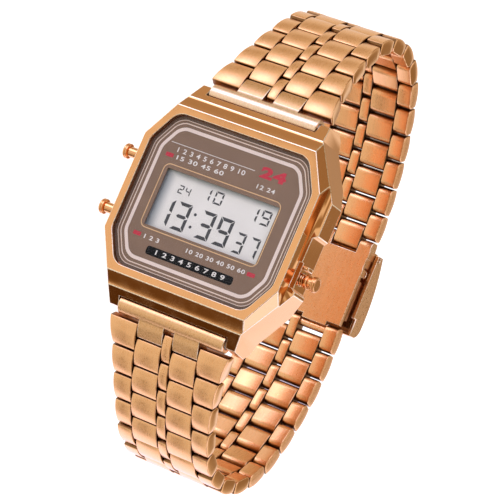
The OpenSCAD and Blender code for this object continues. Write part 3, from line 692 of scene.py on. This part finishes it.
# A return spring, in mm: where it stands in the bay, its wire's and its turns' radii, and its runs
# of (turns, pitch)
SPRING_IN = 14.62
WIRE_R = 0.15
SPRING_R = 0.8
SPRING_RUNS = [(1, 0.3), (4, 0.36), (1, 0.3)]
STEPS_A_TURN = 20
WIRE_SIDES = 8


def turned_button(name, section, place):
    """A button turned on a lathe: its half section spun about X."""
    bm = bmesh.new()
    line = [bm.verts.new((along, radius, 0)) for along, radius in section]
    edges = [bm.edges.new(pair) for pair in zip(line, line[1:])]
    bmesh.ops.spin(bm, geom=line + edges, cent=(0, 0, 0), axis=(1, 0, 0), angle=math.tau,
                   steps=LATHE_STEPS, use_merge=True)
    bmesh.ops.remove_doubles(bm, verts=bm.verts, dist=SAME_POINT)
    finished(name + "_turned", bm, place, button_gold, name, [name], BUTTON_EDGE)


def return_spring(button, place):
    """The wound spring under a button, standing in its bay."""
    bm = bmesh.new()
    wire = bmesh.ops.create_circle(bm, segments=WIRE_SIDES, radius=WIRE_R)["verts"]
    bmesh.ops.translate(bm, vec=(SPRING_IN + WIRE_R, SPRING_R, 0), verts=wire)
    end = bm.verts[:] + bm.edges[:]
    for turns, pitch in SPRING_RUNS:
        end = bmesh.ops.spin(bm, geom=end, cent=(0, 0, 0), axis=(1, 0, 0),
                             dvec=(pitch / STEPS_A_TURN, 0, 0), angle=math.tau * turns,
                             steps=STEPS_A_TURN * turns)["geom_last"]
    bmesh.ops.holes_fill(bm, edges=[edge for edge in bm.edges if edge.is_boundary])
    node = button.replace("button_", "") + "_spring"
    spring = finished(node + "_wound", bm, place, button_gold, "case", [node])
    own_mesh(spring)


for name, (side, y) in BUTTONS.items():
    neck_end = STEM_SECTION[-1][0] + (NECK_3 if side > 0 else NECK_9)
    section = STEM_SECTION + [(neck_end + along, radius) for along, radius in HEAD_SECTION]
    turn = Matrix.Rotation(0 if side > 0 else math.pi, 4, "Z")
    place = WATCH @ Matrix.Translation((0, y, BUTTON_Z)) @ turn
    turned_button(name, section, place)
    return_spring(name, place)

# Crystal, dial and display

finished("crystal_glass", raised(octagon(CRYSTAL_IN), CRYSTAL_LOW, CRYSTAL_TOP), WATCH,
         crystal_clear, "case", ["crystal"], 0.12, 3)


def dial_sheet():
    """The dial plate: the outline bridged to the window's corners."""
    bm = octagon(CRYSTAL_IN)
    outline = bm.edges[:]
    bmesh.ops.delete(bm, geom=bm.faces[:], context="FACES_ONLY")
    w, h = WINDOW_W / 2, WINDOW_H / 2
    corners = [bm.verts.new((x, y + WINDOW_Y, 0)) for x, y in ((-w, -h), (w, -h), (w, h), (-w, h))]
    hole = [bm.edges.new((corners[i], corners[i - 1])) for i in range(len(corners))]
    bmesh.ops.triangle_fill(bm, edges=outline + hole, use_dissolve=False)
    window = [face for face in bm.faces if all(vert in corners for vert in face.verts)]
    bmesh.ops.delete(bm, geom=window, context="FACES_ONLY")
    return raised(bm, DIAL_LOW, DIAL_TOP)


finished("dial_face", dial_sheet(), WATCH, dial_taupe, "case", ["dial_plate"])

printed("dial_border", ring(octagon(CRYSTAL_IN), 0.52), dial_brown)
printed("dial_line_outer", ring(octagon(1.76), 0.1), print_cream, layer=2)
printed("dial_line_inner", ring(octagon(2.2), 0.16), print_cream)
printed("dial_line_thick", ring(octagon(2.84), 0.54), print_pink)
printed("window_line", ring(oblong(21.0, 10.5, 1.1), 0.14), print_amber, -0.2, -0.5)
printed("top_rule", oblong(15.0, 0.09, 0.04), print_white, -3.7, 7.96)
for name, x, y in (("mark_light", -10.6, 5.95), ("mark_mode", -10.4, -6.92),
                   ("mark_start", 10.0, -6.85)):
    printed(name, oblong(1.35, 0.62, 0.08), print_red, x, y)
printed("black_pill", oblong(15.5, 1.36, 0.45), print_black, -0.1, -8.75)

numerals("numbers_top", "1 2 3 4 5 6 7 8 9 10", 1.05, -3.7, 7.05, print_white, 0.02, 1.25)
numerals("numbers_second", "15 30 45 60", 0.95, -5.2, 5.9, print_white, 0.02, 1.65)
numerals("number_red", "24", 2.2, 7.0, 8.1, print_red, 0.12, 1.8)
numerals("number_under_red", "12 24", 0.95, 6.6, 5.85, print_white, 0.015, 1.4)
numerals("numbers_mode", "1 2 3", 0.9, -7.8, -7.0, print_white, 0.025, 1.4)
numerals("numbers_start", "10 20 30 40 50 60", 0.9, 3.6, -6.85, print_white, 0.02, 1.38)
numerals("numbers_pill", "1 2 3 4 5 6 7 8 9", 1.0, -0.1, -8.75, print_white, 0.02, 1.6, layer=2)

display_sheet = oblong(WINDOW_W + 2 * LCD_MARGIN, WINDOW_H + 2 * LCD_MARGIN, 0.1)
finished("display_panel", raised(display_sheet, LCD_LOW, LCD_TOP), on_dial(0, WINDOW_Y),
         display_grey, "case", ["lcd_panel"], 0.03)

# The segments that each figure shows
FIGURES = {
    "0": "top foot upper_left upper_right lower_left lower_right",
    "1": "upper_right lower_right",
    "2": "top middle foot upper_right lower_left",
    "3": "top middle foot upper_right lower_right",
    "4": "middle upper_left upper_right lower_right",
    "7": "top upper_right lower_right",
    "9": "top middle foot upper_left upper_right lower_right"}


def segments(w, h, t, g):
    """The seven mitred segments of a figure w wide and h high, with stroke t and gap g."""
    m, inner = h / 2, t / 2
    side = [(0, m + g), (0, h - g), (t, h - t - g), (t, m + inner + g)]
    top = [(g, h), (w - g, h), (w - t - g, h - t), (t + g, h - t)]
    return {
        "top": top,
        "foot": [(x, h - y) for x, y in top],
        "middle": [(inner + g, m), (t + g, m + inner), (w - t - g, m + inner), (w - inner - g, m),
                   (w - t - g, m - inner), (t + g, m - inner)],
        "upper_left": side,
        "lower_left": [(x, h - y) for x, y in side],
        "upper_right": [(w - x, y) for x, y in side],
        "lower_right": [(w - x, h - y) for x, y in side]}


def shown(name, bm, place):
    """A dark shape on the display."""
    finished(name, raised(bm, LCD_TOP, LCD_TOP + PRINT_T), place, segment_ink, "case")


def figures(name, text, left, low, width, height, step, stroke, gap=0.07):
    """Seven-segment figures on the display, the first from left, low and each a step further."""
    bm = bmesh.new()
    shapes = segments(width, height, stroke, gap)
    for i, figure in enumerate(text):
        for segment in FIGURES[figure].split():
            corners = [(left + i * step + x, low + y, 0) for x, y in shapes[segment]]
            bm.faces.new([bm.verts.new(corner) for corner in corners])
    bmesh.ops.recalc_face_normals(bm, faces=bm.faces)
    shown(name, bm, WATCH)


figures("figures_hours", "13", -9.1, -4.5, 2.4, 4.4, 3.0, 0.52)
figures("figures_minutes", "39", -1.7, -4.5, 2.4, 4.4, 3.15, 0.52)
figures("figures_seconds", "37", 5.0, -4.6, 1.65, 3.2, 2.45, 0.36)
figures("figures_date", "19", 5.3, 0.7, 1.6, 2.3, 2.2, 0.29)
figures("figures_day", "10", -3.2, 1.25, 1.5, 2.0, 2.2, 0.27)
figures("figures_mode", "24", -7.2, 0.95, 0.9, 1.3, 1.25, 0.18, 0.025)
for name, y in (("colon_upper", -1.25), ("colon_lower", -3.27)):
    dot = bmesh.new()
    bmesh.ops.create_circle(dot, cap_ends=True, segments=COLON_SIDES, radius=COLON_R)
    shown(name, dot, on_dial(COLON_X, y))


# Bracelet. A link is drawn from its row's first pin, with X along the band, Y outwards and Z across

def half_width(row):
    """Half the band's width where a row begins."""
    return BAND_W / 2 + (BAND_LUG_W - BAND_W) / 2 * math.exp(-(row - 1) / TAPER_ROWS)


def dome(along):
    """Height of a link's outer face."""
    radius = (HALF_LINK * HALF_LINK + LINK_DOME * LINK_DOME) / (2 * LINK_DOME)
    return CROWN - radius + math.sqrt(radius * radius - (along - LINK_MIDDLE) ** 2)


def link(w0, w1, taper=0.0):
    """A link between w0 and w1 across the band, domed outside and round inside, with soft edges."""
    bm = bmesh.new()
    bmesh.ops.create_cube(bm, size=1)
    bmesh.ops.scale(bm, vec=(2 * HALF_LINK, CROWN + END_R, w1 - w0), verts=bm.verts)
    bmesh.ops.translate(bm, vec=(LINK_MIDDLE, (CROWN - END_R) / 2, (w0 + w1) / 2), verts=bm.verts)
    inner = [edge for edge in bm.edges if all(vert.co.y < 0 for vert in edge.verts)
             and abs(edge.verts[0].co.z - edge.verts[1].co.z) > NEAR]
    bmesh.ops.bevel(bm, geom=inner, offset=END_R - INNER_FLAT, offset_type="OFFSET", segments=5,
                    profile=0.5, affect="EDGES", material=-1)
    for i in range(-DOME_CUTS, DOME_CUTS + 1):
        cut = LINK_MIDDLE + HALF_LINK * i / (DOME_CUTS + 1)
        bmesh.ops.bisect_plane(bm, geom=bm.verts[:] + bm.edges[:] + bm.faces[:], dist=CUT_DIST,
                               plane_co=(cut, 0, 0), plane_no=(1, 0, 0))
    for vert in bm.verts:
        if vert.co.y > CROWN - NEAR:
            vert.co.y = dome(vert.co.x)
        if taper and vert.co.z > w1 - NEAR:
            vert.co.z += taper * (vert.co.x + LINK_MIDDLE) / PITCH
    bm.normal_update()
    sharp = [edge for edge in bm.edges if edge.calc_face_angle(0) > SOFT_ANGLE]
    bmesh.ops.bevel(bm, geom=sharp, offset=LINK_SOFT, offset_type="OFFSET", segments=3, profile=0.5,
                    affect="EDGES", clamp_overlap=True, material=-1)
    return bm


def joined(bm, part, place=Matrix()):
    """Adds a part's shape to the bmesh."""
    mesh = bpy.data.meshes.new("part")
    part.to_mesh(mesh)
    mesh.transform(place)
    if place.determinant() < 0:
        mesh.flip_normals()
    bm.from_mesh(mesh)
    bpy.data.meshes.remove(mesh)


def rod(radius, half_length):
    """A pin across the band, with chamfered ends."""
    bm = bmesh.new()
    bmesh.ops.create_cone(bm, cap_ends=True, segments=PIN_SIDES, radius1=radius, radius2=radius,
                          depth=2 * half_length)
    rim = [edge for edge in bm.edges if edge.calc_face_angle(0) > SOFT_ANGLE]
    bmesh.ops.bevel(bm, geom=rim, offset=PIN_CHAMFER, offset_type="OFFSET", segments=1,
                    profile=0.5, affect="EDGES", material=-1)
    return bm


def row_frame(sign, place, angle):
    """From a row's own frame to the shared frame."""
    a = math.radians(angle)
    u = Vector((0, sign * math.cos(a), math.sin(a)))
    v = Vector((0, -sign * math.sin(a), math.cos(a)))
    w = u.cross(v)
    turn = Matrix((u, v, w)).transposed().to_4x4()
    return WATCH @ Matrix.Translation((0, sign * place[0], place[1])) @ turn


MIRROR = Matrix.Scale(-1, 4, (0, 0, 1))
HALF_ON = Matrix.Translation((PITCH / 2, 0, 0))
inner_link = link(INNER_X, INNER_END_X)
bead = link(-BEAD_X, BEAD_X)


def link_row(side, row, place, angle, last):
    """A row of the bracelet: outer links, bead, inner links half a row on, and pins."""
    sign = SIDES[side][0]
    a, b = half_width(row), half_width(row + 1)
    bm = bmesh.new()
    outer = link(OUTER_X, a, b - a)
    joined(bm, outer)
    joined(bm, outer, MIRROR)
    joined(bm, bead)
    if not last:
        joined(bm, inner_link, HALF_ON)
        joined(bm, inner_link, MIRROR @ HALF_ON)
    joined(bm, rod(PIN_R, b - PIN_EDGE))
    joined(bm, rod(END_BAR_R if last else PIN_R, b - PIN_EDGE), HALF_ON)
    outer.free()
    row_place = bm.verts.layers.float_vector.new("row_place")
    polish = bm.verts.layers.float.new("polish")
    gap = bm.verts.layers.float.new("gap")
    offset = Vector((GRAIN_X * row, GRAIN_Y * row, GRAIN_SIDE * sign))
    bm.normal_update()
    for vert in bm.verts:
        strip = Vector((0, 0, GRAIN_STRIP * round(vert.co.z / STRIP_W)))
        vert[row_place] = vert.co + offset + strip
        along, across = abs(vert.normal.x), abs(vert.normal.z)
        inside = abs(vert.co.z) < b - EDGE_STRIP
        vert[polish] = row <= POLISHED_ROWS and across > SIDE_FACING
        # Faces in the gaps between links are marked for painted shade
        vert[gap] = along > GAP_FACING or across > GAP_FACING and inside
    name = f"link_{side}_{row:02d}"
    finished(name + "_brushed", bm, row_frame(sign, place, angle), satin_gold, name,
             [name])


def end_link(side, sign):
    """The tube round a spring bar, and its tongues in the clasp's brushed finish."""
    name = f"end_link_{side}"
    mesh = softened(name, tube_gold[side], name, 0.12, 3, edge_highlight_gold).data
    mesh.materials.append(clasp_gold)
    axis = WATCH @ Vector((0, sign * BAR_Y, -BAR_DEPTH))
    for face in mesh.polygons:
        if (face.center - axis).xy.length > TUBE_R * MM:
            face.material_index = 2


for side, (sign, rows, angle, near, middle, far, middle_end) in SIDES.items():
    place = Vector((BAR_Y, -BAR_DEPTH))
    for row in range(1, rows + 1):
        length = END_LINK_L if row == 1 else PITCH
        slope = math.radians(angle)
        place = place + length * Vector((math.cos(slope), math.sin(slope)))
        angle -= near if row <= LUG_ROWS else middle if row <= middle_end else far
        link_row(side, row, place, angle, side == "6" and row == rows)
    end_link(side, sign)

# Clasp

softened("clasp_plate", clasp_gold, "clasp", 0.1, 2, edge_highlight_gold)
softened("clasp_pins", screw_gold, "clasp", 0.05)
softened("clasp_blade", blade_gold, "clasp_blade", 0.1)
softened("clasp_cover", clasp_gold, "clasp_cover", 0.15, 3, edge_highlight_gold)

# Inside the case, as the CAD gives it
for node, finish in {
        "light_guide": guide_plastic, "zebra_strips": zebra_pink, "module_frame": frame_plastic,
        "circuit_board": board_green, "battery": cell_steel, "battery_clip": spring_steel,
        "contact_tabs": contact_gold, "buzzer_spring": spring_steel, "buzzer_disc": buzzer_brass,
        "back_gasket": rubber, "button_seals": rubber, "spring_bars": spring_steel}.items():
    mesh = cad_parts[node].data
    mesh.materials.clear()
    mesh.materials.append(finish)

# Floor, in metres: half its width, its height, and how far under the part it lies so as not to
# share a face with it
FLOOR_HALF = 3
FLOOR_Z = cad_box[0][2]
FLOOR_DROP = 0.00005
sheet = bmesh.new()
bmesh.ops.create_grid(sheet, x_segments=1, y_segments=1, size=FLOOR_HALF)
bmesh.ops.translate(sheet, vec=(0, 0, FLOOR_Z - FLOOR_DROP), verts=sheet.verts)
floor_mesh = bpy.data.meshes.new("floor")
sheet.to_mesh(floor_mesh)
sheet.free()
floor = bpy.data.objects.new("floor", floor_mesh)
bpy.context.collection.objects.link(floor)
floor_mesh.materials.append(
    material("white floor", Roughness=0.9, Base_Color=(0.35, 0.35, 0.35, 1), Specular_IOR_Level=0.0,
             Emission_Color=(1, 1, 1, 1), Emission_Strength=1.0)[0])
floor.visible_glossy = False

# Light: a dark studio above and a pale floor below, the heights between which one turns into the
# other, and the least light anywhere
LIGHT_ABOVE, LIGHT_BELOW = 0.4, 1.0
HORIZON_TOP, HORIZON_LOW = 0.02, -0.12
LEAST_LIGHT = 0.04
# Green and blue are powers of the light, so that it is warm where it is weak. Green is at most the
# light, and blue at most a multiple of it and a set value
GREEN_POWER, BLUE_POWER = 1.3, 1.8
BLUE_SHARE, BLUE_MOST = 1.9, 4.2
# Soft panels, each given by the direction it lies in, the angles to its core and its rim in
# degrees, and how much it adds or takes
PANELS = [
    ((0.59, 0.26, 0.77), 14, 28, 1.3),
    ((0.36, 0.88, 0.31), 12, 26, 0.25),
    ((0.02, 0.87, 0.5), 18, 32, 0.75),
    ((-0.105, 0.89, 0.44), 8, 16, -0.78),
    ((-0.6, -0.5, 0.62), 14, 40, 1.2),
    ((-0.45, -0.76, -0.47), 5, 17, 1.7),
    ((-0.62, -0.63, -0.47), 4, 15, 1.2),
    ((-0.25, -0.86, -0.447), 3, 7, -0.7),
    ((0.55, -0.7, -0.46), 4, 10, -0.4),
    ((0.88, -0.07, -0.47), 6, 11, -0.84),
    ((0.79, -0.39, -0.47), 4.5, 9, -0.9),
    ((-0.87, -0.09, -0.47), 8, 20, -0.4),
    ((-0.83, 0.3, -0.47), 10, 28, -0.1),
    ((-0.45, 0.89, 0.08), 8, 20, 0.12),
    ((0.51, 0.73, -0.47), 20, 55, 0.6)]
world = bpy.data.worlds.new("studio")
bpy.context.scene.world = world
world.use_nodes = True
tree = world.node_tree
direction = add(tree, "TexCoord").outputs["Generated"]
height = add(tree, "SeparateXYZ", {"Vector": direction}).outputs["Z"]
light = remap(tree, height, HORIZON_TOP, HORIZON_LOW, LIGHT_ABOVE, LIGHT_BELOW)
for towards, core, rim, amount in PANELS:
    facing = add(tree, "VectorMath", {0: direction, 1: Vector(towards).normalized()},
                 operation="DOT_PRODUCT").outputs["Value"]
    rim_cos, core_cos = math.cos(math.radians(rim)), math.cos(math.radians(core))
    light = maths(tree, "ADD", light, remap(tree, facing, rim_cos, core_cos, 0, amount))
light = maths(tree, "MAXIMUM", light, LEAST_LIGHT)
green = maths(tree, "MINIMUM", maths(tree, "POWER", light, GREEN_POWER), light)
blue_limit = maths(tree, "MINIMUM", maths(tree, "MULTIPLY", light, BLUE_SHARE), BLUE_MOST)
blue = maths(tree, "MINIMUM", maths(tree, "POWER", light, BLUE_POWER), blue_limit)
graded = add(tree, "CombineColor", {"Red": light, "Green": green, "Blue": blue})
tree.links.new(graded.outputs["Color"], tree.nodes["Background"].inputs["Color"])
bpy.context.scene.view_settings.view_transform = "Standard"

# Camera, where the photograph was taken from: its place in metres, and its right and back
CAMERA_AT = (0.040636, -0.348616, 0.180045)
CAMERA_RIGHT = (-0.39174, 0.37921, 0.83829)
CAMERA_BACK = (0.09694, -0.88903, 0.44747)
camera = bpy.data.objects.new("camera", bpy.data.cameras.new("camera"))
bpy.context.collection.objects.link(camera)
camera.data.lens = 187.2
camera.data.sensor_width = 36
camera.data.clip_start = 0.01
camera.data.clip_end = 10
right, back = Vector(CAMERA_RIGHT).normalized(), Vector(CAMERA_BACK).normalized()
camera.matrix_world = (Matrix.Translation(CAMERA_AT)
                       @ Matrix((right, back.cross(right), back)).transposed().to_4x4())
bpy.context.scene.camera = camera
